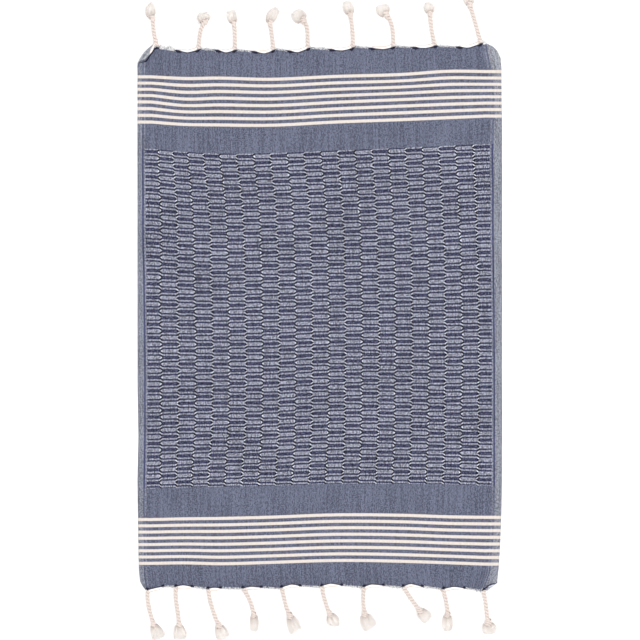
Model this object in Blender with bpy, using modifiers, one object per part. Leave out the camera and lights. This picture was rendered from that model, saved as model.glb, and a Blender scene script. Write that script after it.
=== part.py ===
"""Flat-woven tea towel with hand-twisted tassels along both ends, as closed solids at real size.

Metres, +Z up. +Y points to the end with nine tassels. The origin is the middle of the cloth's underside,
which lies on the plane z = 0. The tables below are in millimetres and degrees.
"""

import math
from collections import namedtuple

import bmesh
import bpy
from mathutils import Vector

MM = 0.001

# Cloth
THICK = 1.0  # thickness of the cloth
GRID = 30.0  # spacing of the cross lines that let the sheet bend
GRID_START = (10.0, 13.0)  # where one line of each kind runs, so that none crosses the origin
EDGE_STEP = 4.5  # spacing of the points along the cut ends
FOLD_RADIUS = 1.45  # of a turned-over corner, on the underside of the cloth
FOLD_STEPS = 5
GAP = 0.35  # left between a tassel and the cloth

# Tassels
PLIES = (1.85, 1.05, 0.75)  # half width and half height at the two plies, and half height between them
CORD_RADIUS = math.hypot(*PLIES[:2])
TWIST_PITCH = 9.5  # length in which the two plies go once round
TWIST_STEPS = 5  # rings in one pitch
STRAND_HALF = 1.05  # half width and half height of the bundle that lies along the cloth's edge
STRAND_STEPS = 5
LOCKS = 8  # frayed locks in a brush
LOCK_RADIUS = 1.25
KNOT_FLATTENING = 0.86  # height of a knot as a share of its width
KNOT_SLANT = 22.0
# Along a knot, in knot widths from its middle, and how thick it is there, as a share of its width.
KNOT_TURNS = ((-0.5, 0.4), (-0.3, 0.92), (-0.07, 0.97), (0.04, 0.82), (0.16, 0.97), (0.36, 0.86), (0.5, 0.4))

# The two cut ends. From the root of each tassel the edge dips inward under its pale bundle as far as the
# stitch, and runs plain from there to the next root, where it stands at hem_y.
Scallop = namedtuple("Scallop", "root_x root_y dip_x dip_y stitch_x stitch_y hem_y")
TOP_EDGE = (  # the bundles lie to the left of their roots
    Scallop(-150.5, 330.6, -163.2, 327.5, -175.2, 330.4, 332.7),
    Scallop(-105.3, 330.2, -115.7, 327.5, -126.2, 330.9, 331.5),
    Scallop(-57.5, 330.1, -68.2, 326.5, -80.5, 329.2, 332.6),
    Scallop(-14.3, 332.6, -26.8, 328.0, -37.5, 330.0, 334.2),
    Scallop(40.0, 332.7, 28.0, 330.1, 14.0, 331.8, 335.6),
    Scallop(90.5, 334.2, 79.0, 331.6, 64.0, 333.3, 335.8),
    Scallop(143.0, 336.0, 130.7, 333.3, 117.0, 334.4, 336.2),
    Scallop(198.5, 338.3, 184.0, 333.6, 172.0, 334.9, 339.6),
)
BOTTOM_EDGE = (  # the bundles lie to the right of their roots
    Scallop(-212.5, -335.4, -203.0, -332.0, -193.5, -330.5, -336.0),
    Scallop(-177.5, -331.3, -168.0, -330.0, -157.7, -332.1, -331.8),
    Scallop(-138.0, -334.2, -130.0, -332.9, -122.7, -333.7, -334.4),
    Scallop(-95.0, -333.2, -84.8, -331.6, -72.7, -332.8, -334.5),
    Scallop(-47.0, -332.4, -34.8, -329.0, -24.6, -331.1, -334.4),
    Scallop(2.5, -330.6, 13.6, -328.0, 26.9, -330.4, -332.6),
    Scallop(55.0, -331.6, 64.0, -328.8, 78.5, -330.4, -333.0),
    Scallop(103.0, -331.2, 112.0, -327.9, 126.2, -331.6, -333.2),
    Scallop(153.0, -334.2, 165.2, -331.8, 178.4, -333.8, -334.8),
)
HEM_REACH = 4.0  # from a root to the place where hem_y is reached

# Selvedges and corners, anticlockwise, from the last bottom tassel round to the first top one, and from
# there down to the first bottom one. The two corners that turn over are given laid out flat.
BOTTOM_RIGHT = ((197.0, -336.8), (201.5, -335.5), (206.8, -336.2))
BOTTOM_RIGHT_FLAP = ((212.4, -339.3), (221.3, -330.1))
RIGHT_SIDE = (
    (218.6, -325.0), (220.2, -308.0), (222.6, -279.0), (224.0, -245.0), (225.0, -200.0),
    (225.0, 240.0), (224.3, 275.0), (224.2, 308.0),
)
TOP_RIGHT = ((223.2, 320.0), (218.9, 330.0), (213.5, 335.0), (206.5, 338.4), (202.6, 339.6))
TOP_LEFT_FLAP = ((-201.5, 334.6), (-206.0, 336.2), (-210.8, 339.6), (-224.3, 327.0), (-225.0, 314.5))
LEFT_SIDE = ((-225.0, 240.0), (-225.0, -200.0), (-224.4, -245.0), (-223.6, -290.0))
BOTTOM_LEFT = ((-222.9, -312.0), (-221.5, -325.0), (-218.2, -331.5), (-215.0, -335.2))

# A corner turns over along its crease: the cloth to the left of the heading ends up on top.
Crease = namedtuple("Crease", "x y heading")
CREASES = (Crease(-225.0, 314.5, 49.9), Crease(218.5, -327.5, 216.1))

# Soft rises of the cloth off the table, with the size of each oval.
Rise = namedtuple("Rise", "x y half_x half_y height")
RISES = (
    Rise(-150.0, 312.0, 70.0, 48.0, 1.6),
    Rise(62.0, 318.0, 60.0, 45.0, 1.2),
    Rise(206.0, 300.0, 42.0, 70.0, 1.8),
    Rise(-214.0, -300.0, 40.0, 60.0, 1.5),
    Rise(-96.0, -318.0, 60.0, 42.0, 1.2),
    Rise(120.0, -312.0, 75.0, 50.0, 1.7),
)

# Tassels, each drawn from its root over its knot to the tip of its brush. Headings are away from the
# straight way out of the cloth, positive towards +X: at the root, into the knot, out of it, at the tip.
Tassel = namedtuple("Tassel", "x out knot_x knot_y into knot turn tip_x tip_y curl width")
TOP_TASSELS = (
    Tassel(-201.5, -12, -206.0, 370.0, 0, 8.0, -35, -205.5, 387.5, 50, 11.5),
    Tassel(-149.5, 5, -142.5, 366.0, 40, 8.0, 10, -142.5, 376.5, -10, 15.0),
    Tassel(-104.7, 0, -106.0, 365.0, -8, 7.5, -12, -109.5, 380.0, -8, 11.0),
    Tassel(-57.5, -1, -61.0, 365.5, -5, 8.0, 15, -55.0, 381.5, 30, 11.5),
    Tassel(-14.3, -10, -21.5, 367.5, -50, 9.5, -35, -28.5, 378.0, -30, 15.0),
    Tassel(41.0, 0, 37.0, 375.5, -10, 7.5, -12, 32.5, 390.0, -22, 10.0),
    Tassel(90.7, 0, 82.5, 374.0, -42, 8.5, -40, 77.0, 385.0, -15, 15.0),
    Tassel(142.0, -17, 135.5, 375.0, -3, 8.5, -3, 135.0, 390.5, 0, 11.5),
    Tassel(198.4, -13, 185.5, 386.0, -17, 8.0, -25, 183.5, 400.0, 5, 12.0),
)
BOTTOM_TASSELS = (
    Tassel(-212.3, -6, -205.0, -378.5, 16, 7.5, 20, -196.5, -398.0, 25, 15.0),
    Tassel(-177.4, -6, -173.5, -379.5, 3, 7.0, 0, -172.5, -398.5, 0, 15.5),
    Tassel(-137.6, 7, -125.0, -378.5, 24, 8.0, 15, -118.0, -396.5, 28, 15.0),
    Tassel(-94.3, 36, -81.5, -366.5, 6, 7.5, 8, -82.0, -386.5, -12, 11.0),
    Tassel(-46.8, 14, -36.5, -366.5, 25, 8.5, 14, -27.5, -387.5, 30, 14.0),
    Tassel(3.0, 5, 12.0, -364.0, 22, 8.0, 30, 18.5, -381.0, 0, 15.0),
    Tassel(54.3, -5, 56.0, -365.5, 10, 8.0, 12, 64.0, -384.5, 30, 17.0),
    Tassel(103.5, 30, 123.5, -361.0, 36, 8.5, 18, 129.5, -375.5, 28, 14.0),
    Tassel(152.6, 12, 157.5, -365.0, -4, 7.5, -4, 159.0, -387.0, 10, 10.5),
    Tassel(201.4, 20, 208.0, -376.0, 10, 8.5, 5, 209.0, -391.0, 0, 17.0),
)
# The first top bundle lies on the cloth, along the inner edge of the turned-over corner.
CORNER_STRAND = ((-202.0, 337.4), (-202.8, 333.4), (-207.7, 325.7), (-212.3, 318.6))

COTTON = {  # linear colour, roughness
    "indigo_chambray": ((0.165, 0.181, 0.250), 0.95),
    "unbleached_yarn": ((0.914, 0.807, 0.730), 0.92),
}


def clear_scene():
    for thing in list(bpy.data.objects):
        bpy.data.objects.remove(thing, do_unlink=True)


def collection(name, hidden=False):
    made = bpy.data.collections.new(name)
    bpy.context.scene.collection.children.link(made)
    made.hide_render = hidden
    return made


def cotton(name):
    """A matt cotton material from the COTTON table."""
    colour, roughness = COTTON[name]
    material = bpy.data.materials.new(name)
    material.use_nodes = True
    shader = material.node_tree.nodes["Principled BSDF"]
    shader.inputs["Base Color"].default_value = (*colour, 1.0)
    shader.inputs["Roughness"].default_value = roughness
    shader.inputs["Metallic"].default_value = 0.0
    material.diffuse_color = (*colour, 1.0)
    return material


def smooth(points, step):
    """Points about one step apart on a Catmull-Rom curve that passes through all the given ones."""
    ends = [Vector(p) for p in (points[0], *points, points[-1])]
    line = []
    for before, start, end, after in zip(ends, ends[1:], ends[2:], ends[3:]):
        pieces = max(1, round((end - start).length / step))
        for i in range(pieces):
            t = i / pieces
            line.append(
                0.5 * (2 * start + (end - before) * t + (2 * before - 5 * start + 4 * end - after) * t * t
                       + (3 * start - before - 3 * end + after) * t ** 3)
            )
    return [*line, ends[-1]]


def bezier(start, heading_out, end, heading_in, count):
    """Points on the curve that leaves start and reaches end with the two given unit headings."""
    reach = (end - start).length / 3
    a, b = start + heading_out * reach, end - heading_in * reach
    found = []
    for i in range(count + 1):
        t = i / count
        u = 1 - t
        found.append(start * u**3 + a * 3 * u * u * t + b * 3 * u * t * t + end * t**3)
    return found


def scallop_line(row):
    """The edge from a tassel's root to its stitch."""
    return smooth(((row.root_x, row.root_y), (row.dip_x, row.dip_y), (row.stitch_x, row.stitch_y)), EDGE_STEP)


def outermost(edge, x, reach, side):
    """How far out a cut end comes, as y, within this reach of x. Side is +1 at the top and -1 at the bottom."""
    found = []
    for start, end in zip(edge, edge[1:]):
        low, high = sorted((start.x, end.x))
        for place in (x - reach, x, x + reach, start.x, end.x):
            if low <= place <= high and abs(place - x) <= reach + 0.01 and high > low:
                found.append(start.lerp(end, (place - start.x) / (end.x - start.x)).y)
    return side * max(side * y for y in found)


def scallops(rows, side, before):
    """The points of one cut end after the one before them: a plain hem and a scallop for each row."""
    line = [before]
    for row in rows:
        hem = Vector((row.root_x + side * HEM_REACH, row.hem_y))
        line += [line[-1].lerp(hem, 1 / 3), line[-1].lerp(hem, 2 / 3), hem, *scallop_line(row)]
    return line[1:]


def bottom_edge():
    """The bottom cut end, left to right, with the ends of the corners beside it."""
    line = [Vector(BOTTOM_LEFT[-1]), *scallop_line(BOTTOM_EDGE[0])]
    line += scallops(BOTTOM_EDGE[1:], -1, line[-1])
    return line + [Vector(p) for p in BOTTOM_RIGHT]


def top_edge():
    """The top cut end, right to left, with the ends of the corners beside it."""
    line = [Vector(TOP_RIGHT[-1]), *scallop_line(TOP_EDGE[-1])]
    line += scallops(TOP_EDGE[-2::-1], 1, line[-1])
    return line + [Vector(p) for p in TOP_LEFT_FLAP[:2]]


def outline():
    """The cloth's outline laid out flat, anticlockwise from its bottom left corner."""
    line = smooth(BOTTOM_LEFT, EDGE_STEP)[:-1] + bottom_edge()
    line += [Vector(p) for p in (*BOTTOM_RIGHT_FLAP, *RIGHT_SIDE)]
    line += smooth((RIGHT_SIDE[-1], *TOP_RIGHT), EDGE_STEP)[1:-1]
    line += top_edge()
    return line + [Vector(p) for p in (*TOP_LEFT_FLAP[2:], *LEFT_SIDE)]


def flat_sheet(points):
    """One flat face with this outline, made from a filled 2D curve."""
    curve = bpy.data.curves.new("cloth_outline", "CURVE")
    curve.dimensions = "2D"
    curve.fill_mode = "BOTH"
    spline = curve.splines.new("POLY")
    spline.points.add(len(points) - 1)
    spline.use_cyclic_u = True
    for point, place in zip(spline.points, points):
        point.co = (place.x * MM, place.y * MM, 0.0, 1.0)
    guide = bpy.data.objects.new("cloth_outline", curve)
    bpy.context.scene.collection.objects.link(guide)
    graph = bpy.context.evaluated_depsgraph_get()
    sheet = bmesh.new()
    mesh = bpy.data.meshes.new_from_object(guide.evaluated_get(graph))
    sheet.from_mesh(mesh)
    bpy.data.objects.remove(guide)
    bpy.data.meshes.remove(mesh)
    bmesh.ops.remove_doubles(sheet, verts=sheet.verts, dist=0.01 * MM)
    bmesh.ops.dissolve_faces(sheet, faces=sheet.faces)
    return sheet


def cut(sheet, place, normal):
    bmesh.ops.bisect_plane(
        sheet,
        geom=[*sheet.verts, *sheet.edges, *sheet.faces],
        dist=0.02 * MM,
        plane_co=(place[0] * MM, place[1] * MM, 0.0),
        plane_no=(*normal, 0.0),
    )


def outward(crease):
    """The side of a crease that turns over, as a unit vector."""
    angle = math.radians(crease.heading + 90)
    return Vector((math.cos(angle), math.sin(angle)))


def turn_over(place, crease):
    """Where a point at place (x, y, z in mm) lies once its corner has turned over along the crease."""
    way = outward(crease)
    past = (place.xy - Vector((crease.x, crease.y))).dot(way) + FOLD_RADIUS
    if past <= 0:
        return place
    angle = min(past / FOLD_RADIUS, math.pi)
    back = FOLD_RADIUS * math.sin(angle) - max(0.0, past - math.pi * FOLD_RADIUS)
    flat = place.xy + way * (back - past)
    return Vector((flat.x, flat.y, place.z + FOLD_RADIUS * (1 - math.cos(angle))))


def rise(x, y):
    """Height of the cloth's underside over the table."""
    height = 0.0
    for row in RISES:
        away = math.hypot((x - row.x) / row.half_x, (y - row.y) / row.half_y)
        if away < 1:
            height += row.height * (0.5 + 0.5 * math.cos(math.pi * away))
    return height


def build_cloth(parts, material):
    sheet = flat_sheet(outline())
    for i in range(-7, 8):
        cut(sheet, (GRID_START[0] + i * GRID, 0), (1, 0))
    for i in range(-11, 11):
        cut(sheet, (0, GRID_START[1] + i * GRID), (0, 1))
    for crease in CREASES:
        way = outward(crease)
        for i in range(FOLD_STEPS + 1):
            past = FOLD_RADIUS * (math.pi * i / FOLD_STEPS - 1)
            cut(sheet, (crease.x + way.x * past, crease.y + way.y * past), way)
    for vert in sheet.verts:
        place = vert.co / MM
        place.z = rise(place.x, place.y)
        for crease in CREASES:
            place = turn_over(place, crease)
        vert.co = place * MM
    mesh = bpy.data.meshes.new("cloth")
    bmesh.ops.recalc_face_normals(sheet, faces=sheet.faces)
    if sum(face.normal.z * face.calc_area() for face in sheet.faces) < 0:
        bmesh.ops.reverse_faces(sheet, faces=sheet.faces)
    sheet.to_mesh(mesh)
    sheet.free()
    cloth = bpy.data.objects.new("cloth", mesh)
    parts.objects.link(cloth)
    mesh.materials.append(material)
    body = cloth.modifiers.new("body", "SOLIDIFY")
    body.thickness = THICK * MM
    body.offset = 1.0
    return cloth


def profile(name, corners, helpers):
    """A closed 2D curve that sweeps carry along a path."""
    curve = bpy.data.curves.new(name, "CURVE")
    curve.dimensions = "2D"
    spline = curve.splines.new("POLY")
    spline.points.add(len(corners) - 1)
    spline.use_cyclic_u = True
    for point, (x, y) in zip(spline.points, corners):
        point.co = (x * MM, y * MM, 0.0, 1.0)
    made = bpy.data.objects.new(name, curve)
    made.hide_render = True
    made.display_type = "WIRE"
    helpers.objects.link(made)
    return made


def sweep(path, sizes, section, turn=0.0):
    """A closed mesh of a section carried along a path in mm, turned a little more at each point."""
    curve = bpy.data.curves.new("sweep", "CURVE")
    curve.dimensions = "3D"
    curve.twist_mode = "Z_UP"
    curve.bevel_mode = "OBJECT"
    curve.bevel_object = section
    curve.use_fill_caps = True
    spline = curve.splines.new("POLY")
    spline.points.add(len(path) - 1)
    for i, (point, place, size) in enumerate(zip(spline.points, path, sizes)):
        point.co = (*(place * MM), 1.0)
        point.radius = size
        point.tilt = turn * i
    guide = bpy.data.objects.new("sweep", curve)
    bpy.context.scene.collection.objects.link(guide)
    graph = bpy.context.evaluated_depsgraph_get()
    mesh = bpy.data.meshes.new_from_object(guide.evaluated_get(graph))
    bpy.data.objects.remove(guide)
    made = bmesh.new()
    made.from_mesh(mesh)
    bpy.data.meshes.remove(mesh)
    bmesh.ops.remove_doubles(made, verts=made.verts, dist=0.001 * MM)
    bmesh.ops.recalc_face_normals(made, faces=made.faces)
    return made


def gather(pieces, name):
    """One mesh that holds all these bmeshes."""
    mesh = bpy.data.meshes.new(name)
    whole = bmesh.new()
    for piece in pieces:
        piece.to_mesh(mesh)
        piece.free()
        whole.from_mesh(mesh)
    whole.to_mesh(mesh)
    whole.free()
    return mesh


def heading(angle, side):
    """Unit vector at this angle from the straight way out of the cloth."""
    turned = math.radians(angle)
    return Vector((math.sin(turned), side * math.cos(turned), 0.0))


def root(row, edge, side):
    """Where the middle of a tassel's cord starts, just off the cloth's edge."""
    reach = PLIES[0]
    clear = GAP + reach * abs(math.sin(math.radians(row.out)))
    return Vector((row.x, outermost(edge, row.x, reach, side) + side * clear, CORD_RADIUS))


def cord(row, edge, side, section):
    """The two-ply twisted cord, from its root to inside the knot."""
    start = root(row, edge, side)
    knot = Vector((row.knot_x, row.knot_y, row.knot * KNOT_FLATTENING / 2))
    length = (knot - start).length
    rings = round(length / TWIST_PITCH * TWIST_STEPS)
    path = bezier(start, heading(row.out, side), knot, heading(row.into, side), rings)
    for i, place in enumerate(path):
        place.z = start.z + (knot.z - start.z) * (i / rings) ** 3
    return sweep(path, [1.0] * len(path), section, 2 * math.pi / TWIST_STEPS)


def knot(row, side, section):
    """The overhand knot: two fat turns of cord that lie slantwise across its way."""
    place = Vector((row.knot_x, row.knot_y, row.knot * KNOT_FLATTENING / 2))
    along = heading(0.5 * (row.into + row.turn) + KNOT_SLANT, side)
    path = [place + along * share * row.knot for share, size in KNOT_TURNS]
    return sweep(path, [size * row.knot / 2 for share, size in KNOT_TURNS], section)


def brush(row, side, section):
    """Frayed locks that fan out of the knot in two layers and come to rest on the table."""
    start = Vector((row.knot_x, row.knot_y, 0.0))
    tip = Vector((row.tip_x, row.tip_y, 0.0))
    line = bezier(start, heading(row.turn, side), tip, heading(row.curl, side), 10)
    root_height = row.knot * KNOT_FLATTENING / 2
    locks = []
    for n in range(LOCKS):
        across = 2 * n / (LOCKS - 1) - 1
        upper = n % 2
        length = 1 - 0.12 * abs(across) - 0.07 * (n % 3)
        path, sizes = [], []
        for share, size in ((0.05, 0.9), (0.55, 1.0), (1.0, 0.38)):
            i = share * length * 10
            a, b = line[int(i)], line[min(10, int(i) + 1)]
            ahead = (line[min(10, int(i) + 1)] - line[max(0, int(i) - 1)]).normalized()
            spread = 0.5 * row.width * math.sin(math.radians(22 + 96 * share)) - LOCK_RADIUS
            sideways = Vector((-ahead.y, ahead.x, 0.0)) * across * spread
            rest = LOCK_RADIUS * size + upper * (1.9 - 0.5 * share)
            place = a.lerp(b, i - int(i)) + sideways
            place.z = root_height + (rest - root_height) * min(1.0, 1.6 * share)
            path.append(place)
            sizes.append(size)
        locks.append(sweep(path, sizes, section))
    return locks


def edge_strand(row, scallop, edge, side, section):
    """The bundle that lies outside a scallop and runs into the tassel's root."""
    start = root(row, edge, side)
    path, sizes = [Vector((start.x, start.y + side * STRAND_HALF, STRAND_HALF))], [1.0]
    for i in range(1, STRAND_STEPS + 1):
        x = scallop.root_x + (scallop.stitch_x - scallop.root_x) * i / STRAND_STEPS
        y = outermost(edge, x, STRAND_HALF, side)
        path.append(Vector((x, y + side * (GAP + STRAND_HALF), STRAND_HALF)))
        sizes.append(1.0)
    sizes[-1] = 0.55
    return sweep(path, sizes, section)


def corner_strand(section):
    """The bundle of the first top tassel, which lies on the cloth beside the turned-over corner."""
    path = [Vector((x, y, THICK + GAP + STRAND_HALF)) for x, y in CORNER_STRAND]
    return sweep(path, (0.9, 0.9, 0.9, 0.5), section)


def build_tassel(name, row, scallop, edge, side, sections, parts, helpers, material):
    plies, lump, lock, strand = sections
    rope = cord(row, edge, side, plies)
    others = [knot(row, side, lump), *brush(row, side, lock)]
    if scallop:
        others.append(edge_strand(row, scallop, edge, side, strand))
    elif side > 0:
        others.append(corner_strand(strand))
    tassel = bpy.data.objects.new(name, gather([rope], name))
    tassel.data.materials.append(material)
    parts.objects.link(tassel)
    joined = bpy.data.objects.new(name + "_rest", gather(others, name + "_rest"))
    joined.data.materials.append(material)
    joined.hide_render = True
    joined.display_type = "WIRE"
    helpers.objects.link(joined)
    union = tassel.modifiers.new("one_piece", "BOOLEAN")
    union.operation = "UNION"
    union.solver = "EXACT"
    union.use_self = True
    union.object = joined


def regular(corners, radius, height, start=0.0):
    """Corners of a regular polygon in an oval of this radius and half height, the first one at start degrees."""
    angles = [math.radians(start + 360 * i / corners) for i in range(corners)]
    return [(radius * math.cos(a), height * math.sin(a)) for a in angles]


def build_tassels(parts, helpers, material):
    x, y, waist = PLIES
    strand_corner = STRAND_HALF * math.sqrt(2)
    sections = (
        profile("two_plies", ((x, y), (0, waist), (-x, y), (-x, -y), (0, -waist), (x, -y)), helpers),
        profile("knot", regular(7, 1.0, KNOT_FLATTENING, 90), helpers),
        profile("lock", regular(3, LOCK_RADIUS, LOCK_RADIUS, 30), helpers),
        profile("strand", regular(4, strand_corner, strand_corner, 45), helpers),
    )
    top, bottom = top_edge(), bottom_edge()
    for n, row in enumerate(TOP_TASSELS):
        scallop = TOP_EDGE[n - 1] if n else None
        build_tassel(f"tassel_top_{n + 1}", row, scallop, top, 1, sections, parts, helpers, material)
    for n, row in enumerate(BOTTOM_TASSELS):
        scallop = BOTTOM_EDGE[n] if n < len(BOTTOM_EDGE) else None
        build_tassel(f"tassel_bottom_{n + 1}", row, scallop, bottom, -1, sections, parts, helpers, material)


def main():
    clear_scene()
    parts = collection("tea_towel")
    helpers = collection("helpers", hidden=True)
    build_cloth(parts, cotton("indigo_chambray"))
    build_tassels(parts, helpers, cotton("unbleached_yarn"))


main()
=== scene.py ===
"""Looks of a handwoven cotton tea towel laid flat: indigo and natural chambray with an overshot honeycomb
field, a band of eight pale stripes near each end, and hand-twisted tassels along both cut ends.

The sizes below are in millimetres and degrees; the scene is in metres. +Y points to the end with nine tassels.
"""

import math
from collections import namedtuple

import bmesh
import bpy
import numpy as np
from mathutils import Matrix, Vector


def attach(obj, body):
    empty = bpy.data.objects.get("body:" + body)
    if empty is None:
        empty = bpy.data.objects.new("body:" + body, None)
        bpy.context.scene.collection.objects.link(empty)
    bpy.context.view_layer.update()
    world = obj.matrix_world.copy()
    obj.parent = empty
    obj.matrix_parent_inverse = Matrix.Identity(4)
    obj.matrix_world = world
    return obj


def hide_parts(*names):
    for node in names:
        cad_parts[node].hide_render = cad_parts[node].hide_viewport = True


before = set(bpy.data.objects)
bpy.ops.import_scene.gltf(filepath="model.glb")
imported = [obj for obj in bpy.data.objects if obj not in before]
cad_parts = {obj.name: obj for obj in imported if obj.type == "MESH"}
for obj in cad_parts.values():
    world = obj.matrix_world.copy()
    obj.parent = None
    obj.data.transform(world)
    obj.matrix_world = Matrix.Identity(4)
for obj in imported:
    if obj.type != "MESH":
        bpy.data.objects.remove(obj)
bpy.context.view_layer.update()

MM = 0.001
rng = np.random.default_rng(19)

# ---------------------------------------------------------------- cloth sizes
SHEET = 0.75  # thickness of the cloth
LIFT, UNEVEN = 0.12, 0.22  # of the cloth's underside off the table, and how unevenly it lies
COLUMNS = 168
ROW_STEP = 2.65
END_ZONE, END_STEP = 20.0, 1.5  # near the cut ends the rows are closer
END_SHAPED = 30.0  # how far in from a cut end the rows still follow its scallops
FOLD_RADIUS, FOLD_STEPS = 1.45, 7
NEAR_CREASE = 8.0  # faces this near a crease can be cut by its bend

# Each cut end: the edge dips under the pale bundle between a tassel's root and the stitch that holds it, and
# runs plain from there to the next root, beside which it stands at hem_y.
Scallop = namedtuple("Scallop", "root_x root_y dip_x dip_y stitch_x stitch_y hem_y")
TOP_EDGE = (
    Scallop(-150.5, 330.6, -163.2, 327.5, -175.2, 330.4, 332.7),
    Scallop(-105.3, 330.2, -115.7, 327.5, -126.2, 330.9, 331.5),
    Scallop(-57.5, 330.1, -68.2, 326.5, -80.5, 329.2, 332.6),
    Scallop(-14.3, 332.6, -26.8, 328.0, -37.5, 330.0, 334.2),
    Scallop(40.0, 332.7, 28.0, 330.1, 14.0, 331.8, 335.6),
    Scallop(90.5, 334.2, 79.0, 331.6, 64.0, 333.3, 335.8),
    Scallop(143.0, 336.0, 130.7, 333.3, 117.0, 334.4, 336.2),
    Scallop(198.5, 338.3, 184.0, 333.6, 172.0, 334.9, 339.6),
)
BOTTOM_EDGE = (
    Scallop(-212.5, -335.4, -203.0, -333.5, -193.5, -331.6, -336.0),
    Scallop(-177.5, -331.3, -168.0, -330.0, -157.7, -332.1, -331.8),
    Scallop(-138.0, -334.2, -130.0, -332.9, -122.7, -333.7, -334.4),
    Scallop(-95.0, -333.2, -84.8, -331.6, -72.7, -332.8, -334.5),
    Scallop(-47.0, -332.4, -34.8, -329.0, -24.6, -331.1, -334.4),
    Scallop(2.5, -330.6, 13.6, -328.0, 26.9, -330.4, -332.6),
    Scallop(55.0, -331.6, 64.0, -328.8, 78.5, -330.4, -333.0),
    Scallop(103.0, -331.2, 112.0, -327.9, 126.2, -331.6, -333.2),
    Scallop(153.0, -334.2, 165.2, -331.8, 178.4, -333.8, -334.8),
)
HEM_REACH = 4.0  # from a root to where its plain stretch begins
TOP_LEFT = ((-210.8, 340.4), (-206.0, 336.2), (-201.5, 334.6))
TOP_RIGHT = (202.6, 339.6)
BOTTOM_LEFT = (-215.0, -335.2)
BOTTOM_RIGHT = ((197.0, -336.8), (201.5, -335.5), (206.8, -336.2), (212.4, -339.3))
LEFT_SIDE = (
    (-215.0, -335.2), (-218.2, -331.5), (-221.5, -325.0), (-222.9, -312.0), (-223.6, -290.0), (-224.4, -245.0),
    (-224.9, -200.0), (-223.8, -150.0), (-224.0, -128.0), (-224.8, -80.0), (-225.0, 240.0), (-225.0, 314.5),
    (-226.4, 328.4), (-221.8, 335.2), (-210.8, 340.4),
)
RIGHT_SIDE = (
    (212.4, -339.3), (221.3, -330.1), (219.0, -325.0), (220.9, -308.0), (222.8, -279.0), (224.0, -245.0),
    (225.0, -200.0), (225.0, 240.0), (224.3, 275.0), (224.2, 308.0), (223.2, 320.0), (218.9, 330.0),
    (213.5, 335.0), (206.5, 338.4), (202.6, 339.6),
)
# The cloth left of each heading is turned over on top, and the fold bows outward over its length. A fold that is
# drawn paler has its place in the weave set further out, past all else, where the material finds it.
Crease = namedtuple("Crease", "x y heading bow length further")
PALER_FOLD = 22.0
CREASES = (Crease(-225.0, 314.5, 49.9, 2.2, 30.0, 0.0), Crease(218.5, -327.5, 213.6, 0.8, 22.0, PALER_FOLD))
# Broad soft rises where the cloth stands off the table.
Rise = namedtuple("Rise", "x y half_x half_y height")
RISES = (
    Rise(-150.0, 312.0, 70.0, 48.0, 1.6),
    Rise(62.0, 318.0, 60.0, 45.0, 1.2),
    Rise(206.0, 300.0, 42.0, 70.0, 1.8),
    Rise(-214.0, -300.0, 40.0, 60.0, 1.5),
    Rise(-96.0, -318.0, 60.0, 42.0, 1.2),
    Rise(120.0, -312.0, 75.0, 50.0, 1.7),
)

# ---------------------------------------------------------------- weave sizes
# Where the threads run. A handwoven towel is never square: the weft bows and the warp leans. Each row starts
# with its y, and then says how far the threads are off there at the columns' x.
BOW_AT = (-208.0, -166.0, -126.0, -64.0, 19.0, 102.0, 163.0, 204.0)
WEFT_BOW = (
    (-300, 2.5, 2.0, 3.0, 1.5, -1.0, 0.0, 2.0, 3.5),
    (-244, 5.5, 4.5, 4.0, 2.5, -0.5, 0.0, 2.0, 2.5),
    (-196, 7.0, 5.5, 4.5, 3.5, 1.0, 1.0, 1.5, 3.0),
    (-132, 6.5, 5.5, 5.0, 4.5, 1.0, 1.5, 2.5, 2.0),
    (-4, 5.0, 5.5, 6.0, 5.0, 3.0, 2.0, 1.5, 0.5),
    (125, 1.0, 5.0, 6.5, 6.0, 4.5, 1.5, -1.5, -4.0),
    (189, 1.0, 5.5, 8.0, 7.5, 4.5, 1.0, -2.0, -4.0),
    (240, 4.0, 7.0, 7.5, 8.0, 4.0, 1.0, -1.5, -3.5),
    (270, 3.5, 8.0, 7.0, 8.0, 4.0, 0.5, -2.0, -3.0),
    (297, 5.0, 7.0, 6.5, 8.0, 4.5, 2.0, -2.0, -1.5),
)
LEAN_AT = (-218.0, -200.0, -167.0, -60.0, 60.0, 150.0, 187.0, 204.0, 214.0)
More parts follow.
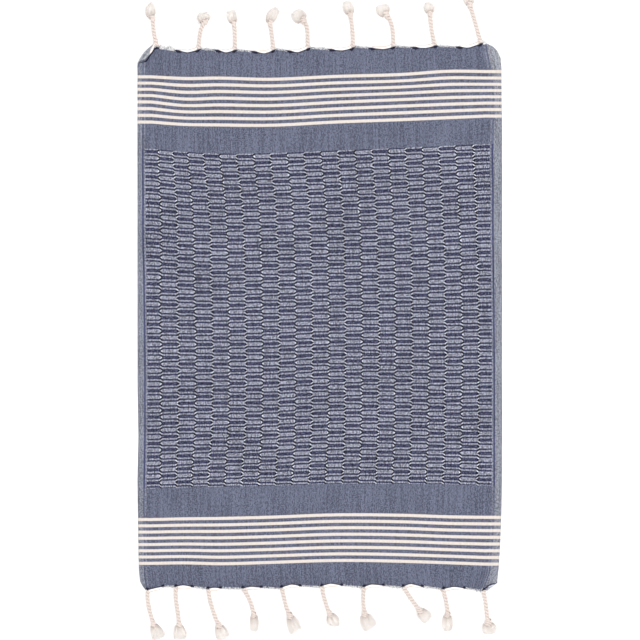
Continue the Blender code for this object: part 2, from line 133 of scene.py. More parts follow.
WARP_LEAN = (
    (-336, 4.0, 3.0, 0.0, 0.0, 0.0, 0.0, -6.0, -14.0, -20.0),
    (-318, 1.5, 1.0, -2.0, -2.0, -2.0, -2.0, -2.5, -5.0, -8.0),
    (-290, 1.0, 1.0, -2.5, -3.0, -3.0, -2.0, -1.5, -2.0, -3.0),
    (-212, 0.5, 0.5, -1.5, -2.5, -2.5, -1.5, -1.0, 0.5, 1.0),
    (-180, 1.0, 1.0, -0.5, -0.5, -0.5, -0.5, 0.0, 1.5, 1.0),
    (-140, 1.5, 1.5, 2.0, 2.0, 1.0, 1.0, 1.5, 2.0, 1.0),
    (-100, 1.5, 1.5, 2.5, 2.5, 1.5, 1.0, 1.0, 1.0, 1.0),
    (-50, 1.5, 2.0, 3.0, 3.0, 2.0, 2.5, 2.5, 2.0, 1.0),
    (20, 0.5, 0.0, 1.5, 2.5, 2.0, 1.5, 1.0, 1.0, 0.5),
    (60, 0.0, 1.0, 1.0, 2.0, 1.0, 1.5, 0.5, 0.5, 0.0),
    (100, -1.0, 1.5, 1.0, 0.5, 0.5, 0.0, -0.5, -0.5, -0.5),
    (135, -1.0, 1.0, -0.5, -1.0, -1.5, -2.0, -2.0, -0.5, -0.5),
    (165, -1.0, -0.5, -3.0, -4.0, -3.5, -3.5, -3.0, -1.0, -0.5),
    (190, -1.0, -1.5, -5.5, -7.0, -5.5, -5.0, -4.5, -2.0, -1.0),
    (306, -1.0, -2.5, -6.0, -7.0, -6.0, -6.0, -6.0, -4.0, -3.0),
    (338, -1.0, -2.5, -6.0, -7.0, -6.0, -6.0, -6.0, -9.0, -10.5),
)
WEFT_ORIGIN = 21.5  # y of the middle of a pale cell in the weft's own measure
CELL_WIDTH, CELL_START = 20.62, -197.3  # the honeycomb's columns
CELL_HEIGHT = 16.17  # from one pale cell of a column to the next
BAR = CELL_HEIGHT / 8  # height of each pale or dark bar
SLANT = 2.7  # width of the strip between neighbouring columns where the bars slant
PIT_REACH = 0.42  # how much further the dark bars reach in that strip
BAR_BLUR = 0.2  # half the width over which a pale bar gives way to a dark one
FIELD = (-225.3, 189.5)  # lowest and highest weft of the honeycomb
STRIPE_PITCH, STRIPE_HALF = 8.11, 1.87
TOP_STRIPE, BOTTOM_STRIPE = 281.1, -265.0  # each band's uppermost stripe
STRIPES = 8
SELVEDGE_MIDDLE = -1.5  # midway between the two selvedges
LINE_AT, DOTS_AT = 215.8, 213.6  # the dark line and the dotted pale thread, out from that middle
SELVEDGE_IN = 219.0  # where the weave of a turned corner starts, as if it lay past the right selvedge
CELL_RELIEF = 0.16  # how far the honeycomb's cells stand proud

# ---------------------------------------------------------------- tassel sizes
PLY_OUT, YARN_OUT, YARN = 1.35, 0.95, 0.74  # ply off the cord's middle, yarn off the ply's, yarn radius
TWIST_PITCH, PLY_PITCH = 8.2, 6.4  # one full turn of the cord, and of a ply
YARNS = 5  # in each ply
CORD_HEIGHT = 3.0  # of a cord's middle where it leaves the cloth
CORD_POINTS, BRUSH_POINTS, FIBRE_RINGS = 52, 40, 8
KNOT_FLATTENING = 0.86
KNOT_SLANT = 20.0
KNOT_TURN_POINTS = 16
KNOT_LENGTH, KNOT_CORE = 0.92, 0.36  # length of a knot's turns and radius of its core, as shares of its size
YARN_SIDES, BUNDLE_SIDES, FIBRE_SIDES = 6, 5, 3

# Each tassel from its root over its knot to the tip of its brush. Headings are away from the straight way out
# of the cloth, positive towards +X. The shape is the brush's width at the knot, halfway and at the tip.
Tassel = namedtuple("Tassel", "x out knot_x knot_y into knot turn tip_x tip_y curl turns shape")
TOP_TASSELS = (
    Tassel(-201.5, -12, -206.0, 370.5, 0, 7.0, -55, -204.4, 387.4, 60, 2, (6.0, 11.2, 8.5)),
    Tassel(-149.5, 5, -141.6, 365.0, 40, 7.5, -25, -144.6, 377.6, -10, 2, (9.5, 14.8, 9.5)),
    Tassel(-104.7, 0, -105.8, 363.8, -8, 6.5, -14, -110.0, 380.4, -8, 2, (7.0, 9.8, 9.8)),
    Tassel(-57.5, -1, -61.0, 364.0, -5, 6.5, -12, -51.2, 381.8, 48, 2, (8.0, 11.0, 7.5)),
    Tassel(-14.3, -10, -20.0, 367.0, -45, 8.5, -42, -31.4, 379.4, -30, 3, (10.0, 13.8, 11.0)),
    Tassel(41.0, 0, 37.8, 374.5, -10, 7.0, -12, 32.3, 391.5, -18, 3, (7.5, 11.0, 8.0)),
    Tassel(90.7, 0, 82.5, 374.0, -42, 8.0, -45, 75.5, 387.0, -15, 2, (9.0, 16.5, 13.0)),
    Tassel(142.0, -17, 136.2, 376.0, -3, 7.0, -8, 134.0, 389.9, 0, 3, (7.0, 10.2, 7.0)),
    Tassel(198.4, -13, 185.5, 386.0, -17, 7.5, -25, 183.5, 400.0, 5, 2, (7.0, 12.0, 8.0)),
)
BOTTOM_TASSELS = (
    Tassel(-212.3, -6, -205.4, -377.3, 16, 6.8, 20, -197.0, -396.8, 25, 2, (5.5, 12.0, 16.0)),
    Tassel(-177.4, -6, -173.5, -378.2, 3, 7.0, 0, -172.5, -397.6, 0, 2, (6.0, 13.0, 15.5)),
    Tassel(-137.6, 7, -124.6, -379.2, 24, 8.0, 15, -117.5, -397.0, 28, 3, (6.5, 12.5, 16.0)),
    Tassel(-94.3, 36, -81.5, -366.5, 6, 7.0, 8, -81.8, -387.2, -14, 3, (7.0, 8.5, 9.0)),
    Tassel(-46.8, 14, -37.0, -367.2, 25, 8.0, 14, -27.6, -388.2, 32, 3, (6.5, 12.5, 16.5)),
    Tassel(3.0, 5, 12.2, -365.0, 22, 7.0, 30, 18.6, -381.4, 0, 3, (6.5, 13.6, 10.0)),
    Tassel(54.3, -5, 55.4, -365.2, 10, 8.0, 12, 64.4, -384.2, 32, 3, (8.0, 14.5, 17.0)),
    Tassel(103.5, 30, 123.0, -360.7, 36, 8.5, 40, 135.0, -374.0, 42, 3, (8.0, 13.0, 13.0)),
    Tassel(152.6, 12, 157.5, -366.0, -4, 7.5, -4, 158.5, -387.2, 10, 4, (7.0, 11.0, 9.5)),
    Tassel(201.4, 20, 207.6, -375.3, 10, 8.5, 5, 209.0, -390.8, 0, 3, (8.5, 15.2, 12.5)),
)
# Short second legs of a cord: points from where it joins the cord to where it comes off the cloth.
LEGS = {
    "top_1": (
        ((-201.0, 343.5, 2.2), (-199.0, 339.4, 1.6), (-197.0, 335.2, 1.1)),
        ((-202.6, 341.0, 3.1), (-204.4, 336.4, 3.1), (-206.9, 331.6, 3.1), (-209.6, 326.4, 3.1)),
    ),
    "top_8": (((141.0, 342.0, 2.2), (144.0, 339.2, 1.6), (147.0, 336.4, 1.1)),),
    "bottom_9": (((152.0, -342.0, 2.2), (149.4, -338.7, 1.6), (146.8, -335.4, 1.1)),),
    "bottom_10": (((203.2, -340.8, 2.2), (205.2, -338.6, 2.6), (208.2, -337.0, 3.2)),),
}
BRUSH_FIBRES, FIBRE, BODY_STRANDS = 380, 0.17, 9  # fine fibres of a brush, their radius, and its thick strands
BRUSH_RESTS = 1.6  # how thick a brush is where it lies on the table
BOW_SPREAD, RIPPLE = 0.32, 0.16  # how far loose fibres bow and ripple sideways
SCALLOP_BUNDLE, LEG_BUNDLE = 1.55, 1.05  # half widths
# Turns of navy thread that tie off a scallop: their middle and half length, at the stitch and then at the root.
Tie = namedtuple("Tie", "at_stitch stitch_half at_root root_half")
TOP_TIE, BOTTOM_TIE = Tie(1.0, 4.0, -0.4, 2.7), Tie(0.0, 1.8, 0.0, 1.8)
TIE_HALF, THREAD_HALF = 1.7, 0.35  # half the thickness of those turns, and of the thread between them
THREAD_STRANDS, STITCH_POINTS, SEAM_POINTS = 4, 44, 30
# Navy thread beside each turned corner, partly standing in for the shadow along the turned-over flap's edge: x, y, z
# and half its thickness.
TOP_LEFT_SEAM_AND_SHADE = (
    (-197.8, 333.2, 1.6, 0.6), (-200.8, 333.2, 1.8, 1.3), (-203.4, 331.8, 1.8, 0.6), (-206.4, 327.6, 1.8, 0.5),
    (-209.6, 323.4, 1.8, 0.6), (-212.0, 319.8, 1.8, 0.8), (-214.0, 317.0, 1.8, 0.75), (-217.6, 316.0, 1.8, 0.45),
    (-222.5, 314.7, 1.8, 0.3),
)
BOTTOM_RIGHT_SEAM_AND_SHADE = (
    (219.0, -325.9, 3.3, 0.4), (216.6, -327.7, 3.4, 0.6), (213.6, -328.2, 3.4, 0.75), (210.4, -329.2, 3.4, 0.65),
    (206.3, -331.7, 3.4, 0.6), (202.6, -334.5, 3.2, 0.8), (200.0, -336.1, 2.6, 0.6),
)
FLUFF, FLUFF_REACH = 4200, 1.15  # broken ends along a whole cut, and how long they are
FLUFF_SPREAD, FLUFF_PALE = 38, 0.9  # how far their headings spread, and the share of them that is pale
# Where the fluff on the top cut is thicker: its middle, half width and length.
TUFTS = ((-195.5, 2.5, 1.6), (-184.0, 4.8, 2.8), (202.8, 1.6, 1.8))
TUFT_FIBRES = 260

# ---------------------------------------------------------------- studio sizes, in metres and watts
CAMERA_AT = (0.0003, -0.0025, 5.0)
SENSOR, VIEW_WIDTH = 36.0, 0.7901  # the camera's sensor in millimetres, and the width of table that it sees
SOFTBOX_AT, SOFTBOX_SIDE, SOFTBOX_POWER = (0.7, 0.1, 3.3), 2.6, 36.0
DAYLIGHT = 1.19
FLOOR_HALF = 4

# ---------------------------------------------------------------- colours, as sRGB
COLOURS = {
    "plain": "#5A5E70",
    "cell_pale": "#838592",
    "cell_glint": "#BCBECC",
    "cell_navy": "#1C1F3E",
    "cell_pit_shade": "#020308",
    "navy_line": "#36385B",
    "selvedge": "#7A7D88",
    "turned_selvedge": "#94969C",
    "pale_fold": "#BCBECC",
    "stripe": "#DDD4CB",
    "stripe_shade": "#C6BCB7",
    "yarn": "#DCD1CB",
    "yarn_groove_shade": "#D2C6BF",
    "knot_groove_shade": "#A08B7E",
    "fibre_tip": "#FFFAF6",
    "fibre_shade": "#F9F0EA",
    "navy_thread": "#0E1028",
    "navy_thread_light": "#262948",
    "end_fibre": "#F7F6F5",
    "end_navy": "#7B7F94",
    "floor": "#FCFCFC",
}


def linear(name):
    """A colour of the COLOURS table as linear RGBA."""
    code = COLOURS[name].lstrip("#")
    parts = [int(code[i : i + 2], 16) / 255 for i in (0, 2, 4)]
    parts = [p / 12.92 if p <= 0.04045 else ((p + 0.055) / 1.055) ** 2.4 for p in parts]
    return (*parts, 1.0)


# ---------------------------------------------------------------- materials
def add(tree, kind, inputs=(), output=0, **settings):
    """Adds a node with its settings, fills or links its inputs, and gives back one output."""
    node = tree.nodes.new(kind)
    for name, value in settings.items():
        setattr(node, name, value)
    for place, value in inputs.items() if isinstance(inputs, dict) else enumerate(inputs):
        if isinstance(value, bpy.types.NodeSocket):
            tree.links.new(value, node.inputs[place])
        else:
            node.inputs[place].default_value = value
    return node.outputs[output] if len(node.outputs) else node


def new_material(name):
    """A node material and its empty tree."""
    material = bpy.data.materials.new(name)
    material.use_nodes = True
    material.node_tree.nodes.clear()
    return material, material.node_tree


def indigo_chambray():
    """Plain-woven cotton of indigo and natural threads: at arm's length a soft grey blue with fine streaks
    along the warp, matt, with pale overshot floats that stand a little proud."""
    material, tree = new_material("indigo_chambray")
    place = add(tree, "ShaderNodeUVMap", uv_map="weave")
    u = add(tree, "ShaderNodeSeparateXYZ", (place,), "X")
    v = add(tree, "ShaderNodeSeparateXYZ", (place,), "Y")

    # Single threads are about half a millimetre apart, too fine to show, so grains and streaks a few threads
    # wide stand for them: (across the warp, along it) in millimetres.
    grains = []
    for width, height, detail in ((1.5, 3.4, 1.0), (1.15, 1.25, 0.0), (2.2, 45.0, 1.0), (70.0, 55.0, 1.0)):
        scaled = add(tree, "ShaderNodeMapping", {0: place, 3: (1 / width, 1 / height, 1.0)}, vector_type="POINT")
        seen = {"Vector": scaled, "Scale": 1.0, "Detail": detail}
        grains.append(add(tree, "ShaderNodeTexNoise", seen, "Fac", noise_dimensions="2D"))
    slub, thread, warp, patch = grains
    grain = add(tree, "ShaderNodeMath", (slub, thread), operation="ADD")
    streak = add(tree, "ShaderNodeMath", (warp, 0.65), operation="MULTIPLY")
    streak = add(tree, "ShaderNodeMath", (patch, 0.2, streak), operation="MULTIPLY_ADD")
    tone = add(tree, "ShaderNodeMath", (grain, streak), operation="ADD")
    tone = add(tree, "ShaderNodeMapRange", {0: tone, 1: 1.08, 2: 1.77, 3: 0.5, 4: 1.5})

    # Honeycomb. Each column is a pile of pale and dark bars, mirrored about the middles of its cells. From one
    # column to the next the bars slant to lie one bar nearer the same middles, so their edges meet in chevrons.
    across = add(tree, "ShaderNodeMath", (u, CELL_START - SLANT / 2), operation="SUBTRACT")
    column = add(tree, "ShaderNodeMath", (across, CELL_WIDTH), operation="DIVIDE")
    column = add(tree, "ShaderNodeMath", (column,), operation="FLOOR")
    across = add(tree, "ShaderNodeMath", (across, CELL_WIDTH), operation="FLOORED_MODULO")
    slanted = add(tree, "ShaderNodeMapRange", {0: across, 1: 0.0, 2: SLANT})
    column = add(tree, "ShaderNodeMath", (column, slanted), operation="ADD")
    away = add(tree, "ShaderNodeMath", (v, CELL_HEIGHT / 2), operation="PINGPONG")
    bars = add(tree, "ShaderNodeMath", (column, BAR, away), operation="MULTIPLY_ADD")
    bars = add(tree, "ShaderNodeMath", (bars, BAR / 2), operation="SUBTRACT")
    bars = add(tree, "ShaderNodeMath", (bars, BAR), operation="PINGPONG")
    # Where the bars slant, the floats are shortest: the pale ones get a painted highlight between wider dark pits
    # that get painted shade. This holds across the whole strip but for its outermost twelfths.
    ends = add(tree, "ShaderNodeMath", (slanted, 0.5), operation="SUBTRACT")
    ends = add(tree, "ShaderNodeMath", (ends,), operation="ABSOLUTE")
    ends = add(tree, "ShaderNodeMapRange", {0: ends, 1: 0.42, 2: 0.5, 3: 1.0, 4: 0.0})
    bars = add(tree, "ShaderNodeMath", (ends, PIT_REACH, bars), operation="MULTIPLY_ADD")
    pale = add(tree, "ShaderNodeMapRange", {0: bars, 1: BAR / 2 - BAR_BLUR, 2: BAR / 2 + BAR_BLUR, 3: 1.0, 4: 0.0})
    # Painted shade turns the navy nearly black in the pits, and a painted highlight brightens the pale floats.
    dark = add(tree, "ShaderNodeMix", {0: ends, 6: linear("cell_navy"), 7: linear("cell_pit_shade")}, 2, data_type="RGBA")
    light = add(
        tree, "ShaderNodeMix", {0: ends, 6: linear("cell_pale"), 7: linear("cell_glint")}, 2, data_type="RGBA"
    )
    # Single threads of the other colour show through the level bars as specks.
    specks = add(tree, "ShaderNodeMapRange", {0: thread, 1: 0.25, 2: 0.75, 3: -0.26, 4: 0.26})
    firm = add(tree, "ShaderNodeMath", (1.0, ends), operation="SUBTRACT")
    specks = add(tree, "ShaderNodeMath", (specks, firm, pale), operation="MULTIPLY_ADD", use_clamp=True)
    comb = add(tree, "ShaderNodeMix", {0: specks, 6: dark, 7: light}, 2, data_type="RGBA")
    floats = add(tree, "ShaderNodeMapRange", {0: slub, 1: 0.25, 2: 0.75, 3: 0.7, 4: 1.3})
    comb = add(tree, "ShaderNodeMix", {0: 1.0, 6: comb, 7: floats}, 2, data_type="RGBA", blend_type="MULTIPLY")

    # The honeycomb fills the cloth between its lowest and highest weft, and between the dotted threads.
    out = add(tree, "ShaderNodeMath", (u, SELVEDGE_MIDDLE), operation="SUBTRACT")
    out = add(tree, "ShaderNodeMath", (out,), operation="ABSOLUTE")
    mid, half = (FIELD[0] + FIELD[1]) / 2, (FIELD[1] - FIELD[0]) / 2
    tall = add(tree, "ShaderNodeMath", (v, mid), operation="SUBTRACT")
    tall = add(tree, "ShaderNodeMath", (tall,), operation="ABSOLUTE")
    in_rows = add(tree, "ShaderNodeMapRange", {0: tall, 1: half - 0.3, 2: half + 0.3, 3: 1.0, 4: 0.0})
    in_field = add(tree, "ShaderNodeMapRange", {0: out, 1: DOTS_AT - 0.9, 2: DOTS_AT - 0.4, 3: 1.0, 4: 0.0})
    in_field = add(tree, "ShaderNodeMath", (in_rows, in_field), operation="MULTIPLY")
    colour = add(tree, "ShaderNodeMix", {0: in_field, 6: linear("plain"), 7: comb}, 2, data_type="RGBA")

    # Selvedges: a pale dotted thread, a navy line and a grey margin.
    dots = add(tree, "ShaderNodeMath", (v, CELL_HEIGHT / 8), operation="PINGPONG")
    dots = add(tree, "ShaderNodeMapRange", {0: dots, 1: 0.3, 2: 1.7, 3: 0.95, 4: 0.35})
    dots_here = add(tree, "ShaderNodeMath", (out, DOTS_AT), operation="SUBTRACT")
    dots_here = add(tree, "ShaderNodeMath", (dots_here,), operation="ABSOLUTE")
    dots_here = add(tree, "ShaderNodeMapRange", {0: dots_here, 1: 0.6, 2: 1.1, 3: 1.0, 4: 0.0})
    dots = add(tree, "ShaderNodeMath", (dots, dots_here), operation="MULTIPLY")
    field_dots = add(tree, "ShaderNodeMapRange", {0: in_rows, 1: 0.0, 2: 1.0, 3: 0.75, 4: 1.0})
    dots = add(tree, "ShaderNodeMath", (dots, field_dots), operation="MULTIPLY")
    colour = add(tree, "ShaderNodeMix", {0: dots, 6: colour, 7: linear("cell_pale")}, 2, data_type="RGBA")
    margin = add(tree, "ShaderNodeMapRange", {0: out, 1: LINE_AT + 0.4, 2: LINE_AT + 1.4, 3: 0.0, 4: 1.0})
    # The left selvedge takes only part of the margin's grey, so it stays darker than the right.
    margin_tone = add(tree, "ShaderNodeMapRange", {0: u, 1: -1.0, 2: 1.0, 3: 0.8, 4: 1.0})
    margin = add(tree, "ShaderNodeMath", (margin, margin_tone), operation="MULTIPLY")
    # A turned corner shows the paler back of the margin, the upper right corner is nearly as pale, and the lower
    # right fold is paler still.
    back = add(tree, "ShaderNodeMapRange", {0: out, 1: SELVEDGE_IN + 7.0, 2: SELVEDGE_IN + 11.0})
    high = add(tree, "ShaderNodeMapRange", {0: v, 1: 270.0, 2: 300.0, 3: 0.0, 4: 0.4})
    right = add(tree, "ShaderNodeMath", (u, 0.0), operation="GREATER_THAN")
    back = add(tree, "ShaderNodeMath", (high, right, back), operation="MULTIPLY_ADD", use_clamp=True)
    selvedge = add(
        tree, "ShaderNodeMix", {0: back, 6: linear("selvedge"), 7: linear("turned_selvedge")}, 2, data_type="RGBA"
    )
    fold = SELVEDGE_IN + PALER_FOLD
    fold_paleness = add(tree, "ShaderNodeMapRange", {0: out, 1: fold, 2: fold + 1.0, 3: 0.0, 4: 0.7})
    selvedge = add(
        tree, "ShaderNodeMix", {0: fold_paleness, 6: selvedge, 7: linear("pale_fold")}, 2, data_type="RGBA"
    )
    colour = add(tree, "ShaderNodeMix", {0: margin, 6: colour, 7: selvedge}, 2, data_type="RGBA")
    line = add(tree, "ShaderNodeMath", (out, LINE_AT), operation="SUBTRACT")
    line = add(tree, "ShaderNodeMath", (line,), operation="ABSOLUTE")
    line_tone = add(tree, "ShaderNodeMapRange", {0: in_rows, 1: 0.0, 2: 1.0, 3: 0.2, 4: 0.9})
    line = add(tree, "ShaderNodeMapRange", {0: line, 1: 0.6, 2: 1.2, 3: 1.0, 4: 0.0})
    line = add(tree, "ShaderNodeMath", (line, line_tone), operation="MULTIPLY")
    colour = add(tree, "ShaderNodeMix", {0: line, 6: colour, 7: linear("navy_line")}, 2, data_type="RGBA")

    # Eight pale weft stripes near each end; the same count starts at each band's uppermost stripe.
    upper = add(tree, "ShaderNodeMath", (v, 0.0), operation="GREATER_THAN")
    start = add(tree, "ShaderNodeMapRange", {0: upper, 1: 0.0, 2: 1.0, 3: BOTTOM_STRIPE, 4: TOP_STRIPE})
    below = add(tree, "ShaderNodeMath", (start, v), operation="SUBTRACT")
    band = add(tree, "ShaderNodeMath", (below, STRIPE_PITCH * (STRIPES - 1) / 2), operation="SUBTRACT")
    band = add(tree, "ShaderNodeMath", (band,), operation="ABSOLUTE")
    band = add(tree, "ShaderNodeMath", (STRIPE_PITCH * STRIPES / 2, band), operation="GREATER_THAN")
    stripe = add(tree, "ShaderNodeMath", (below, STRIPE_PITCH / 2), operation="PINGPONG")
    blur = 0.25
    stripe = add(
        tree, "ShaderNodeMapRange", {0: stripe, 1: STRIPE_HALF - blur, 2: STRIPE_HALF + blur, 3: 1.0, 4: 0.0}
    )
    stripe = add(tree, "ShaderNodeMath", (stripe, band), operation="MULTIPLY")
    colour = add(tree, "ShaderNodeMix", {0: 1.0, 6: colour, 7: tone}, 2, data_type="RGBA", blend_type="MULTIPLY")
    cream = add(tree, "ShaderNodeMix", {0: slub, 6: linear("stripe_shade"), 7: linear("stripe")}, 2, data_type="RGBA")
    colour = add(tree, "ShaderNodeMix", {0: stripe, 6: colour, 7: cream}, 2, data_type="RGBA")

    # Painted shade: the cloth is drawn a little darker over the last few centimetres towards the lower end.
    lower_end_shade = add(tree, "ShaderNodeMapRange", {0: v, 1: -350.0, 2: -315.0, 3: 0.93, 4: 1.0})
    colour = add(tree, "ShaderNodeMix", {0: 1.0, 6: colour, 7: lower_end_shade}, 2, data_type="RGBA", blend_type="MULTIPLY")

    # Relief: thread streaks, and floats that stand proud.
    height = add(tree, "ShaderNodeMath", (pale, in_field), operation="MULTIPLY")
    height = add(tree, "ShaderNodeMath", (height, stripe), operation="ADD")
    height = add(tree, "ShaderNodeMath", (height, grain), operation="ADD")
    bump = add(tree, "ShaderNodeBump", {"Height": height, "Strength": 0.35, "Distance": 0.3 * MM})
    shader = add(
        tree, "ShaderNodeBsdfPrincipled",
        {"Base Color": colour, "Roughness": 0.95, "Specular IOR Level": 0.25, "Sheen Weight": 0.08, "Normal": bump},
    )
    add(tree, "ShaderNodeOutputMaterial", {"Surface": shader})
    return material


def unbleached_yarn():
    """Soft-spun unbleached cotton yarn, hand twisted and knotted: warm cream, matt, with a fine mottle, with painted
    shade in the hollows between the yarns that is darkest in the knot, and paler and airier where the ends are combed
    out, each combed fibre a little darker at random."""
    material, tree = new_material("unbleached_yarn")
    where = add(tree, "ShaderNodeTexCoord", output="Object")
    tip = add(tree, "ShaderNodeAttribute", output="Fac", attribute_name="tip")
    groove = add(tree, "ShaderNodeAttribute", output="Fac", attribute_name="groove")
    noise = add(tree, "ShaderNodeTexNoise", {"Vector": where, "Scale": 900.0, "Detail": 2.0}, "Fac")
    mottle = add(tree, "ShaderNodeMapRange", {0: noise, 1: 0.3, 2: 0.7, 3: -0.12, 4: 0.12})
    groove = add(tree, "ShaderNodeMath", (groove, mottle), operation="ADD")
    # Painted shade: cords darken where their yarns turn into the hollows, and knots are darkest on the inner sides of
    # their turns.
    knot_shade = add(tree, "ShaderNodeMath", (groove, 1.0), operation="SUBTRACT", use_clamp=True)
    cord = add(tree, "ShaderNodeMix", {0: groove, 6: linear("yarn"), 7: linear("yarn_groove_shade")}, 2, data_type="RGBA")
    cord = add(tree, "ShaderNodeMix", {0: knot_shade, 6: cord, 7: linear("knot_groove_shade")}, 2, data_type="RGBA")
    brush = add(
        tree, "ShaderNodeMix", {0: groove, 6: linear("fibre_tip"), 7: linear("fibre_shade")}, 2, data_type="RGBA"
    )
    colour = add(tree, "ShaderNodeMix", {0: tip, 6: cord, 7: brush}, 2, data_type="RGBA")
    bump = add(tree, "ShaderNodeBump", {"Height": noise, "Strength": 0.25, "Distance": 0.15 * MM})
    # Loose fibres scatter light at their edges, so the brushes fade out softly.
    sheen = add(tree, "ShaderNodeMapRange", {0: tip, 1: 0.0, 2: 1.0, 3: 0.1, 4: 0.75})
    shader = add(
        tree, "ShaderNodeBsdfPrincipled",
        {"Base Color": colour, "Roughness": 0.9, "Specular IOR Level": 0.2, "Sheen Weight": sheen, "Normal": bump},
    )
    add(tree, "ShaderNodeOutputMaterial", {"Surface": shader})
    return material


def navy_thread():
    """Mercerised indigo sewing cotton: nearly black blue, with a faint lustre along its turns."""
    material, tree = new_material("navy_thread")
    where = add(tree, "ShaderNodeTexCoord", output="Object")
    noise = add(tree, "ShaderNodeTexNoise", {"Vector": where, "Scale": 700.0, "Detail": 2.0}, "Fac")
    tone = add(tree, "ShaderNodeMapRange", {0: noise, 1: 0.3, 2: 0.75, 3: 0.0, 4: 0.5})
    colour = add(
        tree, "ShaderNodeMix", {0: tone, 6: linear("navy_thread"), 7: linear("navy_thread_light")}, 2,
        data_type="RGBA",
    )
    shader = add(
        tree, "ShaderNodeBsdfPrincipled", {"Base Color": colour, "Roughness": 0.75, "Specular IOR Level": 0.3}
    )
    add(tree, "ShaderNodeOutputMaterial", {"Surface": shader})
    return material


def cut_fibres():
    """Broken ends of the warp along the cut: pale and blue cotton fluff."""
    material, tree = new_material("cut_warp_fluff")
    tip = add(tree, "ShaderNodeAttribute", output="Fac", attribute_name="tip")
    colour = add(tree, "ShaderNodeMix", {0: tip, 6: linear("end_navy"), 7: linear("end_fibre")}, 2, data_type="RGBA")
    shader = add(
        tree, "ShaderNodeBsdfPrincipled", {"Base Color": colour, "Roughness": 0.95, "Specular IOR Level": 0.2}
    )
    add(tree, "ShaderNodeOutputMaterial", {"Surface": shader})
    return material


def painted_floor():
    """Matt white studio board."""
    material, tree = new_material("white_board")
    shader = add(
        tree, "ShaderNodeBsdfPrincipled", {"Base Color": linear("floor"), "Roughness": 0.9, "Specular IOR Level": 0.1}
    )
    add(tree, "ShaderNodeOutputMaterial", {"Surface": shader})
    return material


# ---------------------------------------------------------------- cloth
def curve_through(knots, values, at):
    """Reads a smooth curve through values, one row of them for each knot, at each place."""
    knots, values = np.asarray(knots, float), np.asarray(values, float)
    slopes = np.gradient(values, knots, axis=0)
    i = np.clip(np.searchsorted(knots, at) - 1, 0, len(knots) - 2)
    n = np.arange(len(at)) if values.ndim == 2 else None
    low, high, rise_low, rise_high = (
        a[j, n] if n is not None else a[j] for a, j in ((values, i), (values, i + 1), (slopes, i), (slopes, i + 1))
    )
    step = knots[i + 1] - knots[i]
    t = np.clip((at - knots[i]) / step, 0, 1)
    return (
        low * (1 + 2 * t) * (1 - t) ** 2 + high * t * t * (3 - 2 * t)
        + step * (rise_low * t * (1 - t) ** 2 - rise_high * t * t * (1 - t))
    )


def read_table(rows, columns, x, y):
    """Smooth reading of WEFT_BOW or WARP_LEAN at each x, y."""
    lines = [curve_through(columns, row[1:], x) for row in rows]
    return curve_through([row[0] for row in rows], np.array(lines), y)


def weave_place(x, y):
    """Where each point of the flat cloth is in the weave's own measure: along the weft, and along the warp."""
    u = x - read_table(WARP_LEAN, LEAN_AT, x, y)
    v = y - WEFT_ORIGIN + read_table(WEFT_BOW, BOW_AT, x, y)
    return u, v


def end_lines():
    """The two cut ends as (x, y) corners from left to right: bottom, top."""
    top, bottom = list(TOP_LEFT), []
    for row in TOP_EDGE:
        top += [(row.stitch_x, row.stitch_y), (row.dip_x, row.dip_y), (row.root_x, row.root_y)]
        top.append((row.root_x + HEM_REACH, row.hem_y))
    top[-1] = TOP_RIGHT
    for row in BOTTOM_EDGE:
        bottom.append((row.root_x - HEM_REACH, row.hem_y))
        bottom += [(row.root_x, row.root_y), (row.dip_x, row.dip_y), (row.stitch_x, row.stitch_y)]
    bottom[0] = BOTTOM_LEFT
    return np.array(bottom + list(BOTTOM_RIGHT)), np.array(top)


BOTTOM_LINE, TOP_LINE = end_lines()


def edge_y(x, side):
    """How far out the cloth's cut end comes at x."""
    line = TOP_LINE if side > 0 else BOTTOM_LINE
    return np.interp(x, line[:, 0], line[:, 1])


def relief(x, y, u, v):
    """Height of the cloth's underside over the table: broad soft rises, slight unevenness and the honeycomb."""
    z = np.full(len(x), LIFT)
    for row in RISES:
        away = np.hypot((x - row.x) / row.half_x, (y - row.y) / row.half_y)
        z += np.where(away < 1, row.height * (0.5 + 0.5 * np.cos(np.pi * np.minimum(away, 1))), 0)
    z += UNEVEN * (1 + np.sin(x / 23 + 1.3 * np.sin(y / 41)) * np.sin(y / 31 + np.sin(x / 37)))
    column = np.floor((u - CELL_START) / CELL_WIDTH)
    side = np.abs((u - CELL_START) / CELL_WIDTH - column - 0.5) * 2
    inside = np.clip((1 - side) * 4, 0, 1) * np.clip((FIELD[1] - v) / 3, 0, 1) * np.clip((v - FIELD[0]) / 3, 0, 1)
    z += CELL_RELIEF * (1 + np.cos(2 * np.pi * (v / CELL_HEIGHT + (column + 1) / 2))) * inside
    return z


def upper_side(x, y):
    """Height of the cloth's upper side."""
    return relief(x, y, *weave_place(x, y)) + SHEET


def turn_over(points, crease):
    """Folds what lies past a crease over on top, and gives back how far past each point was."""
    angle = math.radians(crease.heading + 90)
    way = np.array((math.cos(angle), math.sin(angle)))
    away = points[:, :2] - (crease.x, crease.y)
    share = np.clip(away @ (way[1], -way[0]) / crease.length, 0, 1)
    past = away @ way + FOLD_RADIUS - crease.bow * np.sin(math.pi * share)
    turned = past > 0
    bend = np.minimum(past[turned] / FOLD_RADIUS, math.pi)
    back = FOLD_RADIUS * np.sin(bend) - np.maximum(0.0, past[turned] - math.pi * FOLD_RADIUS)
    points[turned, :2] += np.outer(back - past[turned], way)
    points[turned, 2] += FOLD_RADIUS * (1 - np.cos(bend))
    return past


